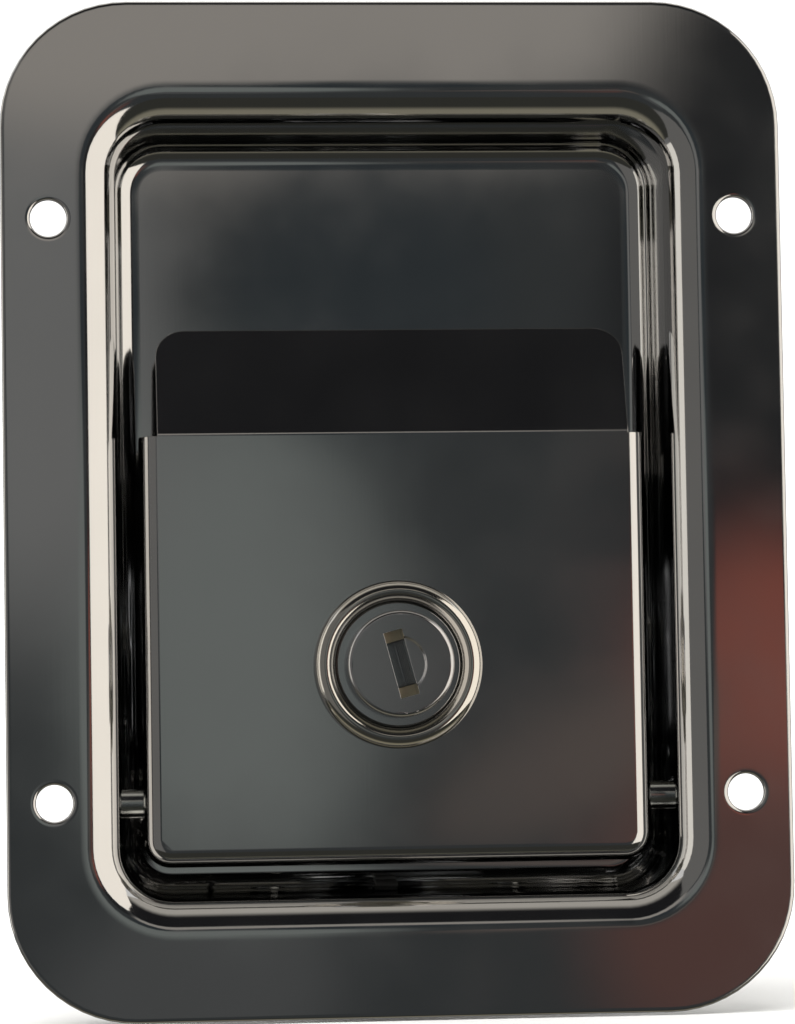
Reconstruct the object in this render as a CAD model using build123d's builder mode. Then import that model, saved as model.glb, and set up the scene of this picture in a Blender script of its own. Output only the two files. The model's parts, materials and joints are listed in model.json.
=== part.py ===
from build123d import *
from math import asin, cos, degrees, hypot, radians, sin, sqrt, tan
import os

# Flush paddle latch with a key lock and a slam bolt, in millimetres.
#
# The flange's rear face lies in the plane y = 0, the paddle faces -Y and +Z is up.
# The origin is the centre of the four mounting holes.  Pulling the top of the paddle
# out turns it about the hinge pin near its foot.  The tail behind the pin then lifts
# the bolt into its case against two springs.

# ---------------------------------------------------------------- driving sizes

# Sheet metal
sheet = 1.2                 # pan and paddle
edge_round = 0.45           # polished outer edge of the flange

# Pan: a drawn dish inside a flat flange
flange_width = 108.0
flange_height = 140.0
flange_corner_r = 17.5
hole_spacing_x = 95.0
hole_spacing_z = 80.0
mount_hole_r = 2.5
well_width = 76.6           # between the inner faces of the side walls
well_height = 106.6
well_depth = 21.5           # flange front to floor front
well_corner_r = 7.0
mouth_bend_r = 5.0          # on the front of the bend between flange and wall
floor_bend_r = 3.0          # inside the bend between wall and floor
cutout_corner_r = 2.0

# Paddle: a plate with three bent edges and a finger lip
paddle_side_gap = 3.0       # bent sides to the dish's side walls
paddle_foot_gap = 4.1       # bent foot to the dish's lower wall
plate_height = 59.5         # foot to the shoulder, where the lip starts
plate_setback = 5.0         # plate front behind the flange front
paddle_bend_r = 2.5
paddle_corner_r = 3.8
side_depth = 8.2            # plate front to the rear edge of the bent sides
ear_r = 5.2                 # round ears that carry the pin
side_top_r = 2.5
lip_width = 66.2
lip_rise = 15.2             # height of the lip above the shoulder
lip_lean = 21.5             # degrees that the lip leans back into the dish
lip_bend_r = 2.2
lip_corner_r = 4.0

# Hinge
pivot_rise = 8.9            # pin axis above the paddle's foot
pivot_setback = 11.0        # pin axis behind the flange front
pin_r = 2.0
pin_head_r = 3.6
pin_head_thickness = 1.6
pin_head_chamfer = 0.8
pin_point = 0.4             # chamfer on the pin's far end
pin_tail = 2.6              # length beyond the far wall
clip_r = 4.6
clip_thickness = 0.8
clip_slits = 6
clip_slit_width = 0.6
clip_slit_length = 1.2

# Paddle spring, a torsion spring round the pin
coil_wire_r = 0.5
coil_pitch = 1.25
coil_full_turns = 4
coil_side_gap = 4.1         # inside of the paddle's left side to the coil
coil_leg_rise = 60.0        # degrees from +Y to +Z of the leg that bears on the floor
coil_plate_leg = 11.0       # length of the leg that bears on the plate

# Tail: a lever welded to the back of the paddle
tail_reach = 16.4           # pin axis to the centre of the round tip
tail_tip_r = 2.0
tail_arm_half = 1.25        # half the height of the arm between hub and tip
tail_hub_r = 4.3
tail_thickness = 3.0
tail_foot_width = 16.0
tail_foot_height = 13.0

# Bolt
bolt_travel = 10.0
bolt_width = 24.0
bolt_thickness = 8.0
bolt_top_land = 2.3         # metal above the window
window_lead_in = 1.5        # chamfer where the tail enters the window
nose_reach = 12.5           # tip of the extended bolt beyond the dish's lower wall
nose_bevel_height = 11.0
nose_tip_thickness = 1.8
nose_round = 0.5
spring_bore_r = 2.7
spring_bore_x = 7.6
spring_seat_depth = 10.6    # bolt top to the bottom of the spring bores

wire_sides = 6              # sides of the polygon that stands for the round spring wire

# Bolt springs
spring_r = 2.1              # mean radius
spring_wire_r = 0.3
spring_turns = 7

# Bolt case: a hat-shaped pressing riveted to the back of the floor
case_sheet = 1.2
case_edge_gap = 0.5         # case inside the dish's outline, and its feet inside the bend
case_flange_width = 8.0
case_bend_r = 1.6
rivet_r = 1.5
rivet_head_r = 2.6
rivet_head_height = 1.0
rivet_head_chamfer = 0.6
rivet_spacing_z = 11.0

# Lock, on an axis square to the plate
lock_rise = 18.6            # pin axis to the lock axis
barrel_r = 8.0
barrel_half_flat = 7.0
barrel_end_gap = 0.0        # barrel end short of the floor's rear face
head_r = 8.5
head_height = 1.2
bezel_r = 11.6
bezel_mouth_r = 8.7
bezel_height = 3.1
bezel_web = 0.8
plug_r = 5.7
plug_head_r = 6.85
plug_stand = 3.7            # plug head in front of the barrel's head
cap_sheet = 0.5
cap_edge_r = 0.6
key_tilt = 14.5             # degrees, top of the keyway towards -X
keyway_width = 2.6
keyway_height = 9.2
keyway_depth = 17.0
key_scoop_r = 4.0
key_scoop_bulge = 2.2
key_scoop_depth = 0.45
key_scoop_taper = 30.0
tang_side = 7.0
tang_length = 2.0
washer_r = 10.4
washer_thickness = 0.7
nut_across_flats = 19.0
nut_thickness = 3.5
nut_chamfer_angle = 60.0    # from the nut's axis
wafer_count = 5
wafer_pitch = 2.6
wafer_thickness = 0.9
wafer_width = 6.4
wafer_first = 4.0           # plug head face to the first wafer
wafer_window_width = 3.2
wafer_window_height = 6.4

# Cam and its screw
cam_thickness = 1.6
cam_hub_r = 7.0
cam_reach = 14.2            # lock axis to the tip of the cam
cam_width = 11.0
cam_tip_r = 1.5
cam_washer_r = 5.5
cam_washer_thickness = 0.6
screw_r = 2.0
screw_length = 8.0
screw_head_r = 3.8
screw_head_height = 2.2
screw_head_chamfer = 0.8
screw_slot_width = 1.0
screw_slot_depth = 1.0

# Fits
pin_fit = 0.05              # radial, pin in its holes
plug_fit = 0.05             # radial, plug in the barrel
slide_fit = 0.2             # bolt to floor and case
tip_fit = 0.15              # tail tip to the window, above and below
panel_fit = 0.1             # barrel in the plate, washers on the barrel
rivet_fit = 0.03
seat_gap = 0.1              # spring ends and loose pieces to their seats
run_gap = 0.3               # faces that pass each other
swing_gap = 0.6             # pan cut-outs round what swings through them
overlap = 1.0               # how far a cutting tool runs past what it cuts

# ---------------------------------------------------------------- derived places

front_y = -sheet
floor_y = front_y + well_depth
floor_back_y = floor_y + sheet
wall_x = well_width / 2
wall_outside_x = wall_x + sheet
lower_wall_z = -well_height / 2
lower_wall_outside_z = lower_wall_z - sheet

plate_y = front_y + plate_setback
plate_back_y = plate_y + sheet
paddle_width = well_width - 2 * paddle_side_gap
paddle_foot_z = lower_wall_z + paddle_foot_gap
shoulder_z = paddle_foot_z + plate_height
pivot_y = front_y + pivot_setback
pivot_z = paddle_foot_z + pivot_rise
pivot = (pivot_y, pivot_z)

swing = degrees(2 * asin(bolt_travel / 2 / tail_reach))
tip_low_z = pivot_z - bolt_travel / 2
tip_back_y = pivot_y + tail_reach * cos(radians(swing / 2))

bolt_front_y = floor_back_y + slide_fit
bolt_back_y = bolt_front_y + bolt_thickness
bolt_middle_y = (bolt_front_y + bolt_back_y) / 2
window_half_height = tail_tip_r + tip_fit
bolt_top_z = tip_low_z + window_half_height + bolt_top_land
spring_seat_z = bolt_top_z - spring_seat_depth
case_top_inside_z = bolt_top_z + bolt_travel + run_gap

nose_tip_z = lower_wall_outside_z - nose_reach

case_foot_z = lower_wall_outside_z + case_edge_gap
case_flange_foot_z = lower_wall_z + floor_bend_r + case_edge_gap
case_inside_y = bolt_back_y + slide_fit
case_inside_x = bolt_width / 2 + slide_fit
case_outside_x = case_inside_x + case_sheet
rivet_x = case_outside_x + case_flange_width / 2
rivet_middle_z = (case_flange_foot_z + case_top_inside_z) / 2

lock_z = pivot_z + lock_rise
barrel_front_y = plate_y - bezel_web
head_front_y = barrel_front_y - head_height
barrel_end_y = floor_back_y - barrel_end_gap
plug_back_y = head_front_y - seat_gap
plug_face_y = head_front_y - plug_stand
cap_face_y = plug_face_y - cap_sheet
cam_y = barrel_end_y + run_gap
cam_back_y = cam_y + cam_thickness
cam_washer_back_y = cam_back_y + cam_washer_thickness

lock_axis = Axis((0, 0, lock_z), (0, 1, 0))


# ---------------------------------------------------------------- shared shapes

def facing(y):
    """Plane at depth y that faces out of the latch, with X right and Z up."""
    return Plane.XZ.offset(-y)


def lock_plane(y, turned=0.0):
    """Plane at depth y, centred on the lock axis and turned about it in degrees."""
    across = (cos(radians(turned)), 0, sin(radians(turned)))
    return Plane(origin=(0, y, lock_z), x_dir=across, z_dir=(0, -1, 0))


def pressed_block(width, foot_z, top_z, near_y, far_y, corner_r, bend_r):
    """Block with round foot corners whose front edges are rounded on three sides."""
    with BuildPart() as block:
        with BuildSketch(facing(near_y)) as outline:
            with Locations((0, (foot_z + top_z) / 2)):
                Rectangle(width, top_z - foot_z)
            fillet(outline.vertices().group_by(Axis.Y)[0], radius=corner_r)
        extrude(amount=near_y - far_y)
        bent_edges = block.faces().sort_by(Axis.Y)[0].edges().sort_by(Axis.Z)[:-1]
        fillet(bent_edges, radius=bend_r)
    return block.part


def dish_block(width, height, near_y, far_y, corner_r, bend_r):
    """Block with round corners whose rear edges are rounded all round."""
    with BuildPart() as block:
        with BuildSketch(facing(near_y)):
            RectangleRounded(width, height, corner_r)
        extrude(amount=near_y - far_y)
        fillet(block.faces().sort_by(Axis.Y)[-1].edges(), radius=bend_r)
    return block.part


def coil(plane, pitch, turns, radius, wire_r, first_leg=0.0, last_leg=0.0):
    """Coil spring about the plane's normal, with straight tangent legs."""
    with BuildPart() as spring:
        with BuildLine() as path:
            helix = Helix(pitch, pitch * turns, radius)
            if first_leg:
                Line((helix @ 0) - (helix % 0) * first_leg, helix @ 0)
            if last_leg:
                Line(helix @ 1, (helix @ 1) + (helix % 1) * last_leg)
        with BuildSketch(Plane(origin=path.wires()[0] @ 0, z_dir=path.wires()[0] % 0)):
            RegularPolygon(wire_r, side_count=wire_sides)
        sweep(path=path.wires()[0])
    return plane.location * spring.part


# ---------------------------------------------------------------- pan

cam_far_corner = hypot(cam_back_y - pivot_y, lock_rise + cam_reach)
cutout_top_z = pivot_z + sqrt(cam_far_corner**2 - (floor_y - pivot_y)**2) + swing_gap
cutout_foot_z = lock_z - barrel_r - swing_gap
cutout_left_x = -barrel_r - swing_gap
cutout_right_x = cam_reach + run_gap

half_swing = radians(swing / 2)
tail_slot_half = (
    (floor_back_y - pivot_y) * tan(half_swing) + tail_arm_half / cos(half_swing) + swing_gap
)

dish_outside = dish_block(
    well_width + 2 * sheet, well_height + 2 * sheet, 0, floor_back_y,
    well_corner_r + sheet, floor_bend_r + sheet,
)
dish_inside = dish_block(
    well_width, well_height, front_y, floor_y, well_corner_r, floor_bend_r,
)

with BuildPart() as pan:
    with BuildSketch(facing(0)):
        RectangleRounded(flange_width, flange_height, flange_corner_r)
    extrude(amount=sheet)
    add(dish_outside)
    flange_back = pan.faces().filter_by(Axis.Y).sort_by(Axis.Y)[1]
    fillet(flange_back.inner_wires().edges(), radius=mouth_bend_r - sheet)
    add(dish_inside, mode=Mode.SUBTRACT)
    flange_front = pan.faces().filter_by(Axis.Y).sort_by(Axis.Y)[0]
    fillet(flange_front.inner_wires().edges(), radius=mouth_bend_r)
    flange_front = pan.faces().filter_by(Axis.Y).sort_by(Axis.Y)[0]
    fillet(flange_front.outer_wire().edges(), radius=edge_round)

    # Mounting holes
    with BuildSketch(facing(0)):
        with GridLocations(hole_spacing_x, hole_spacing_z, 2, 2):
            Circle(mount_hole_r)
    extrude(amount=sheet, mode=Mode.SUBTRACT)

    # Floor: cut-out for the lock and its cam, slot for the tail, rivet holes
    with BuildSketch(facing(floor_y)):
        with Locations(((cutout_left_x + cutout_right_x) / 2, (cutout_foot_z + cutout_top_z) / 2)):
            RectangleRounded(
                cutout_right_x - cutout_left_x, cutout_top_z - cutout_foot_z, cutout_corner_r
            )
        with Locations((0, pivot_z)):
            Rectangle(tail_thickness + 2 * run_gap, 2 * tail_slot_half)
        with Locations((0, rivet_middle_z)):
            with GridLocations(2 * rivet_x, rivet_spacing_z, 2, 2):
                Circle(rivet_r + rivet_fit)
    extrude(amount=-sheet, mode=Mode.SUBTRACT)

    # Pin holes in both side walls
    with BuildSketch(Plane.YZ):
        with Locations(pivot):
            Circle(pin_r + pin_fit)
    extrude(amount=wall_outside_x, both=True, mode=Mode.SUBTRACT)
pan.part.label = "pan"

# ---------------------------------------------------------------- paddle

paddle_outside = pressed_block(
    paddle_width, paddle_foot_z, shoulder_z, plate_y, pivot_y + ear_r,
    paddle_corner_r, paddle_bend_r,
)
paddle_inside = pressed_block(
    paddle_width - 2 * sheet, paddle_foot_z + sheet, shoulder_z + overlap,
    plate_back_y, pivot_y + ear_r + overlap, paddle_corner_r - sheet, paddle_bend_r - sheet,
)
lean = radians(lip_lean)
lip_bend_z = shoulder_z + lip_bend_r * tan(lean / 2)
lip_length = (shoulder_z + lip_rise - lip_bend_z) / cos(lean)
lip_top = (plate_y + lip_length * sin(lean), lip_bend_z + lip_length * cos(lean))

with BuildPart() as paddle:
    add(paddle_outside)
    add(paddle_inside, mode=Mode.SUBTRACT)

    # Side outline: straight bent sides with a round ear at the pin
    with BuildSketch(Plane.YZ) as side_outline:
        with Locations((plate_y + side_depth / 2, (paddle_foot_z + shoulder_z) / 2)):
            Rectangle(side_depth, shoulder_z - paddle_foot_z)
        fillet(side_outline.vertices().group_by(Axis.Y)[-1].sort_by(Axis.X)[-1], side_top_r)
        with Locations(pivot):
            Circle(ear_r)
    extrude(amount=paddle_width, both=True, mode=Mode.INTERSECT)

    # Finger lip, bent back from the plate's top edge
    with BuildSketch(Plane.YZ) as lip:
        with BuildLine():
            Polyline(
                (plate_y, shoulder_z - overlap),
                (plate_y, lip_bend_z),
                lip_top,
                (lip_top[0] + sheet * cos(lean), lip_top[1] - sheet * sin(lean)),
                (plate_back_y, lip_bend_z - sheet * tan(lean / 2)),
                (plate_back_y, shoulder_z - overlap),
                close=True,
            )
        make_face()
        front_bend = lip.vertices().sort_by_distance((plate_y, lip_bend_z))[0]
        fillet(front_bend, radius=lip_bend_r)
    extrude(amount=lip_width / 2, both=True)
    lip_corners = paddle.edges().filter_by(Plane.YZ).group_by(Axis.Z)[-1]
    fillet(lip_corners, radius=lip_corner_r)

    # Pin holes through both ears
    with BuildSketch(Plane.YZ):
        with Locations(pivot):
            Circle(pin_r + pin_fit)
    extrude(amount=paddle_width, both=True, mode=Mode.SUBTRACT)

    # Hole for the lock barrel, with the barrel's two flats
    with BuildSketch(lock_plane(plate_y)):
        Circle(barrel_r + panel_fit)
        Rectangle(2 * (barrel_half_flat + panel_fit), 4 * barrel_r, mode=Mode.INTERSECT)
    extrude(amount=-sheet, mode=Mode.SUBTRACT)
paddle.part.label = "paddle"

# ---------------------------------------------------------------- hinge pin and clip

with BuildPart() as hinge_pin:
    with BuildSketch(Plane.YZ.offset(-wall_outside_x)):
        with Locations(pivot):
            Circle(pin_r)
    extrude(amount=2 * wall_outside_x + pin_tail)
    chamfer(hinge_pin.faces().sort_by(Axis.X)[-1].edges(), length=pin_point)
    with BuildSketch(Plane.YZ.offset(-wall_outside_x)):
        with Locations(pivot):
            Circle(pin_head_r)
    extrude(amount=-pin_head_thickness)
    chamfer(hinge_pin.faces().sort_by(Axis.X)[0].edges(), length=pin_head_chamfer)
hinge_pin.part.label = "hinge_pin"

with BuildPart() as pin_clip:
    with BuildSketch(Plane.YZ.offset(wall_outside_x + seat_gap)):
        with Locations(pivot):
            Circle(clip_r)
            Circle(pin_r + pin_fit, mode=Mode.SUBTRACT)
            with PolarLocations(pin_r + clip_slit_length / 2, clip_slits):
                Rectangle(clip_slit_length, clip_slit_width, mode=Mode.SUBTRACT)
    extrude(amount=clip_thickness)
    rim_edges = pin_clip.faces().sort_by(Axis.X)[-1].outer_wire().edges()
    chamfer(rim_edges, length=clip_thickness / 2)
pin_clip.part.label = "pin_clip"

# ---------------------------------------------------------------- paddle spring

coil_r = pivot_y - plate_back_y - coil_wire_r - seat_gap
coil_end_turn = (90 + coil_leg_rise) / 360
coil_end_y = pivot_y + coil_r * sin(radians(coil_leg_rise))
floor_leg_end_y = floor_y - seat_gap - coil_wire_r * sin(radians(coil_leg_rise))
coil_floor_leg = (floor_leg_end_y - coil_end_y) / cos(radians(coil_leg_rise))

coil_start_x = -paddle_width / 2 + sheet + coil_side_gap
coil_plane = Plane(origin=(coil_start_x, pivot_y, pivot_z), x_dir=(0, -1, 0), z_dir=(1, 0, 0))
paddle_spring = coil(
    coil_plane, coil_pitch, coil_full_turns + coil_end_turn, coil_r, coil_wire_r,
    first_leg=coil_plate_leg, last_leg=coil_floor_leg,
)
paddle_spring.label = "paddle_spring"

# ---------------------------------------------------------------- paddle tail

tail_foot_z = paddle_foot_z + paddle_bend_r + seat_gap

with BuildPart() as paddle_tail:
    with BuildSketch(Plane.YZ):
        with Locations(pivot, (tip_back_y, tip_low_z)):
            Circle(tail_arm_half)
        make_hull()
        with Locations(pivot):
            Circle(tail_hub_r)
        with Locations((tip_back_y, tip_low_z)):
            Circle(tail_tip_r)
    extrude(amount=tail_thickness / 2, both=True)
    with BuildSketch(facing(plate_back_y)):
        with Locations((tail_foot_width / 2 - tail_thickness / 2, tail_foot_z + tail_foot_height / 2)):
            Rectangle(tail_foot_width, tail_foot_height)
    extrude(amount=-tail_thickness)
    far_corners = paddle_tail.edges().filter_by(Axis.Y).group_by(Axis.X)[-1]
    fillet(far_corners, radius=tail_thickness)
    with BuildSketch(Plane.YZ):
        with Locations(pivot):
            Circle(pin_r + pin_fit)
    extrude(amount=tail_foot_width, both=True, mode=Mode.SUBTRACT)
paddle_tail.part.label = "paddle_tail"

# ---------------------------------------------------------------- bolt

with BuildPart() as bolt:
    with BuildSketch(Plane.YZ):
        with BuildLine():
            Polyline(
                (bolt_front_y, bolt_top_z),
                (bolt_front_y, nose_tip_z),
                (bolt_front_y + nose_tip_thickness, nose_tip_z),
                (bolt_back_y, nose_tip_z + nose_bevel_height),
                (bolt_back_y, bolt_top_z),
                close=True,
            )
        make_face()
    extrude(amount=bolt_width / 2, both=True)
    nose_edges = bolt.edges().filter_by(Axis.X).group_by(Axis.Z)[0]
    fillet(nose_edges, radius=nose_round)

    # Window for the tail
    with BuildSketch(facing(bolt_front_y)):
        with Locations((0, tip_low_z)):
            Rectangle(tail_thickness + 4 * run_gap, 2 * window_half_height)
    extrude(amount=-bolt_thickness, mode=Mode.SUBTRACT)
    window_rim = bolt.faces().sort_by(Axis.Y)[0].inner_wires().edges().filter_by(Axis.X)
    chamfer(window_rim, length=window_lead_in)

    # Spring bores
    with BuildSketch(Plane.XY.offset(bolt_top_z)):
        with Locations((-spring_bore_x, bolt_middle_y), (spring_bore_x, bolt_middle_y)):
            Circle(spring_bore_r)
    extrude(amount=-spring_seat_depth, mode=Mode.SUBTRACT)
bolt.part.label = "bolt"

spring_span = case_top_inside_z - spring_seat_z - 2 * (spring_wire_r + seat_gap)
spring_foot_z = spring_seat_z + spring_wire_r + seat_gap
bolt_springs = Compound(
    label="bolt_springs",
    children=[
        coil(
            Plane(origin=(side * spring_bore_x, bolt_middle_y, spring_foot_z)),
            spring_span / spring_turns, spring_turns, spring_r, spring_wire_r,
        )
        for side in (-1, 1)
    ],
)

# ---------------------------------------------------------------- bolt case

with BuildPart() as bolt_case:
    case_height = case_top_inside_z + case_sheet - case_foot_z
    case_back_y = case_inside_y + case_sheet
    with BuildSketch(Plane.XY.offset(case_foot_z)):
        with Locations((0, (floor_back_y + case_back_y) / 2)):
            Rectangle(2 * case_outside_x, case_back_y - floor_back_y)
    extrude(amount=case_height)
    fillet(bolt_case.edges().filter_by(Axis.Z).group_by(Axis.Y)[-1], radius=case_bend_r)
    with BuildSketch(Plane.XY.offset(case_foot_z)):
        with Locations((0, (floor_back_y + case_inside_y) / 2)):
            Rectangle(2 * case_inside_x, case_inside_y - floor_back_y)
    extrude(amount=case_height - case_sheet, mode=Mode.SUBTRACT)

    # Feet that lie flat on the floor
    feet_height = case_top_inside_z + case_sheet - case_flange_foot_z
    with BuildSketch(facing(floor_back_y)):
        with Locations(
            (-rivet_x, case_flange_foot_z + feet_height / 2),
            (rivet_x, case_flange_foot_z + feet_height / 2),
        ):
            Rectangle(case_flange_width, feet_height)
    extrude(amount=-case_sheet)
    outer_corners = bolt_case.edges().filter_by(Axis.Y).filter_by(
        lambda edge: abs(edge.center().X) > case_outside_x + case_flange_width / 2
    )
    fillet(outer_corners, radius=case_bend_r)
    with BuildSketch(facing(floor_back_y)):
        with Locations((0, rivet_middle_z)):
            with GridLocations(2 * rivet_x, rivet_spacing_z, 2, 2):
                Circle(rivet_r + rivet_fit)
    extrude(amount=-case_sheet, mode=Mode.SUBTRACT)
bolt_case.part.label = "bolt_case"

with BuildPart() as case_rivets:
    grip = sheet + case_sheet
    with BuildSketch(facing(floor_y)):
        with Locations((0, rivet_middle_z)):
            with GridLocations(2 * rivet_x, rivet_spacing_z, 2, 2):
                Circle(rivet_r)
    extrude(amount=-grip)
    for face_y, outward in ((floor_y, 1), (floor_y + grip, -1)):
        with BuildSketch(facing(face_y)):
            with Locations((0, rivet_middle_z)):
                with GridLocations(2 * rivet_x, rivet_spacing_z, 2, 2):
                    Circle(rivet_head_r)
        extrude(amount=outward * rivet_head_height)
    head_rims = (
        case_rivets.faces().filter_by(Axis.Y).group_by(Axis.Y)[0].edges()
        + case_rivets.faces().filter_by(Axis.Y).group_by(Axis.Y)[-1].edges()
    )
    chamfer(head_rims, length=rivet_head_chamfer)
case_rivets.part.label = "case_rivets"

# ---------------------------------------------------------------- lock body and its fixing

with BuildPart() as lock_bezel:
    crown_r = (bezel_r - bezel_mouth_r) / 2
    crown_y = plate_y - bezel_height + crown_r
    with BuildSketch(Plane.YZ):
        with BuildLine():
            Polyline(
                (crown_y, lock_z + bezel_mouth_r),
                (plate_y - bezel_web, lock_z + bezel_mouth_r),
                (plate_y - bezel_web, lock_z + barrel_r + panel_fit),
                (plate_y, lock_z + barrel_r + panel_fit),
                (plate_y, lock_z + bezel_r),
                (crown_y, lock_z + bezel_r),
            )
            ThreePointArc(
                (crown_y, lock_z + bezel_r),
                (crown_y - crown_r, lock_z + bezel_r - crown_r),
                (crown_y, lock_z + bezel_mouth_r),
            )
        make_face()
    revolve(axis=lock_axis)
lock_bezel.part.label = "lock_bezel"

with BuildPart() as lock_body:
    with BuildSketch(lock_plane(barrel_front_y)):
        Circle(barrel_r)
        Rectangle(2 * barrel_half_flat, 4 * barrel_r, mode=Mode.INTERSECT)
    extrude(amount=barrel_front_y - barrel_end_y)
    with BuildSketch(lock_plane(barrel_front_y)):
        Circle(head_r)
    extrude(amount=head_height)
    with BuildSketch(lock_plane(head_front_y)):
        Circle(plug_r + plug_fit)
    extrude(amount=head_front_y - barrel_end_y, mode=Mode.SUBTRACT)
lock_body.part.label = "lock_body"

with BuildPart() as lock_washer:
    with BuildSketch(lock_plane(plate_back_y)):
        Circle(washer_r)
        Circle(barrel_r + panel_fit, mode=Mode.SUBTRACT)
    extrude(amount=-washer_thickness)
lock_washer.part.label = "lock_washer"

with BuildPart() as lock_nut:
    nut_y = plate_back_y + washer_thickness
    with BuildSketch(lock_plane(nut_y)):
        RegularPolygon(nut_across_flats / 2, side_count=6, major_radius=False)
    extrude(amount=-nut_thickness)
    with BuildSketch(lock_plane(nut_y + nut_thickness)):
        Circle(nut_across_flats / 2)
    extrude(amount=nut_thickness, taper=-nut_chamfer_angle, mode=Mode.INTERSECT)
    with BuildSketch(lock_plane(nut_y)):
        Circle(barrel_r + panel_fit)
    extrude(amount=-nut_thickness, mode=Mode.SUBTRACT)
lock_nut.part.label = "lock_nut"

# ---------------------------------------------------------------- plug, cap and wafers

wafer_ys = [plug_face_y + wafer_first + index * wafer_pitch for index in range(wafer_count)]

with BuildPart() as lock_plug:
    with BuildSketch(lock_plane(plug_face_y)):
        Circle(plug_r)
    extrude(amount=plug_face_y - barrel_end_y)
    with BuildSketch(lock_plane(plug_face_y)):
        Circle(plug_head_r)
    extrude(amount=plug_face_y - plug_back_y)
    with BuildSketch(lock_plane(barrel_end_y)):
        Rectangle(tang_side, tang_side)
    extrude(amount=-tang_length + seat_gap)
    with BuildSketch(lock_plane(plug_face_y, key_tilt)):
        Rectangle(keyway_width, keyway_height)
    extrude(amount=-keyway_depth, mode=Mode.SUBTRACT)
    for wafer_y in wafer_ys:
        with BuildSketch(lock_plane(wafer_y - seat_gap / 2, key_tilt)):
            Rectangle(wafer_width + seat_gap, 2 * plug_head_r)
        extrude(amount=-wafer_thickness - seat_gap, mode=Mode.SUBTRACT)
    with BuildSketch(lock_plane(cam_back_y)):
        Circle(screw_r)
    extrude(amount=screw_length, mode=Mode.SUBTRACT)
lock_plug.part.label = "lock_plug"

with BuildPart() as wafers:
    for wafer_y in wafer_ys:
        with BuildSketch(lock_plane(wafer_y, key_tilt)):
            Circle(plug_r - seat_gap)
            Rectangle(wafer_width, 2 * plug_r, mode=Mode.INTERSECT)
            Rectangle(wafer_window_width, wafer_window_height, mode=Mode.SUBTRACT)
        extrude(amount=-wafer_thickness)
wafers.part.label = "wafers"

with BuildPart() as plug_cap:
    with BuildSketch(lock_plane(cap_face_y)):
        Circle(plug_head_r + cap_sheet)
    extrude(amount=cap_face_y - plug_back_y)
    fillet(plug_cap.faces().sort_by(Axis.Y)[0].edges(), radius=cap_edge_r)
    with BuildSketch(lock_plane(plug_face_y)):
        Circle(plug_head_r)
    extrude(amount=plug_face_y - plug_back_y, mode=Mode.SUBTRACT)
    with BuildSketch(lock_plane(cap_face_y, key_tilt)):
        Rectangle(keyway_width, keyway_height)
    extrude(amount=-cap_sheet, mode=Mode.SUBTRACT)
    scoop_centre = keyway_width / 2 + key_scoop_bulge - key_scoop_r
    with BuildSketch(lock_plane(cap_face_y, key_tilt)):
        with Locations((scoop_centre, 0)):
            Circle(key_scoop_r)
        with Locations((key_scoop_r, 0)):
            Rectangle(2 * key_scoop_r, 2 * key_scoop_r, mode=Mode.INTERSECT)
    extrude(amount=-key_scoop_depth, taper=key_scoop_taper, mode=Mode.SUBTRACT)
plug_cap.part.label = "plug_cap"

# ---------------------------------------------------------------- cam, washer and screw

with BuildPart() as lock_cam:
    with BuildSketch(lock_plane(cam_y)) as cam_outline:
        with Locations((0, cam_reach / 2)):
            Rectangle(cam_width, cam_reach)
        fillet(cam_outline.vertices().group_by(Axis.Y)[-1], radius=cam_tip_r)
        Circle(cam_hub_r)
        Rectangle(tang_side + 2 * seat_gap, tang_side + 2 * seat_gap, mode=Mode.SUBTRACT)
    extrude(amount=-cam_thickness)
lock_cam.part.label = "lock_cam"

with BuildPart() as cam_washer:
    with BuildSketch(lock_plane(cam_back_y)):
        Circle(cam_washer_r)
        Circle(screw_r + panel_fit, mode=Mode.SUBTRACT)
    extrude(amount=-cam_washer_thickness)
cam_washer.part.label = "cam_washer"

with BuildPart() as cam_screw:
    with BuildSketch(lock_plane(cam_washer_back_y)):
        Circle(screw_r - pin_fit)
    extrude(amount=screw_length)
    with BuildSketch(lock_plane(cam_washer_back_y)):
        Circle(screw_head_r)
    extrude(amount=-screw_head_height)
    chamfer(cam_screw.faces().sort_by(Axis.Y)[-1].edges(), length=screw_head_chamfer)
    with BuildSketch(lock_plane(cam_washer_back_y + screw_head_height)):
        Rectangle(screw_slot_width, 2 * screw_head_r)
    extrude(amount=screw_slot_depth, mode=Mode.SUBTRACT)
cam_screw.part.label = "cam_screw"

# ---------------------------------------------------------------- export

os.makedirs("parts", exist_ok=True)
export_step(pan.part, "parts/pan.step")
export_step(paddle.part, "parts/paddle.step")
export_step(hinge_pin.part, "parts/hinge_pin.step")
export_step(pin_clip.part, "parts/pin_clip.step")
export_step(paddle_spring, "parts/paddle_spring.step")
export_step(paddle_tail.part, "parts/paddle_tail.step")
export_step(bolt.part, "parts/bolt.step")
export_step(bolt_springs, "parts/bolt_springs.step")
export_step(bolt_case.part, "parts/bolt_case.step")
export_step(case_rivets.part, "parts/case_rivets.step")
export_step(lock_bezel.part, "parts/lock_bezel.step")
export_step(lock_body.part, "parts/lock_body.step")
export_step(lock_washer.part, "parts/lock_washer.step")
export_step(lock_nut.part, "parts/lock_nut.step")
export_step(lock_plug.part, "parts/lock_plug.step")
export_step(wafers.part, "parts/wafers.step")
export_step(plug_cap.part, "parts/plug_cap.step")
export_step(lock_cam.part, "parts/lock_cam.step")
export_step(cam_washer.part, "parts/cam_washer.step")
export_step(cam_screw.part, "parts/cam_screw.step")

print(f"paddle swing {swing:.3f} degrees, bolt travel {bolt_travel:.3f} mm")
print(f"bolt travel per radian {bolt_travel / radians(swing):.4f} mm")
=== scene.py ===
import json
import logging
import math
from dataclasses import dataclass, field
from enum import Enum
from typing import Iterable, Sequence

import bmesh
import bpy
from bmesh.types import BMEdge, BMFace, BMVert
from mathutils import Matrix, Vector


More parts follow.
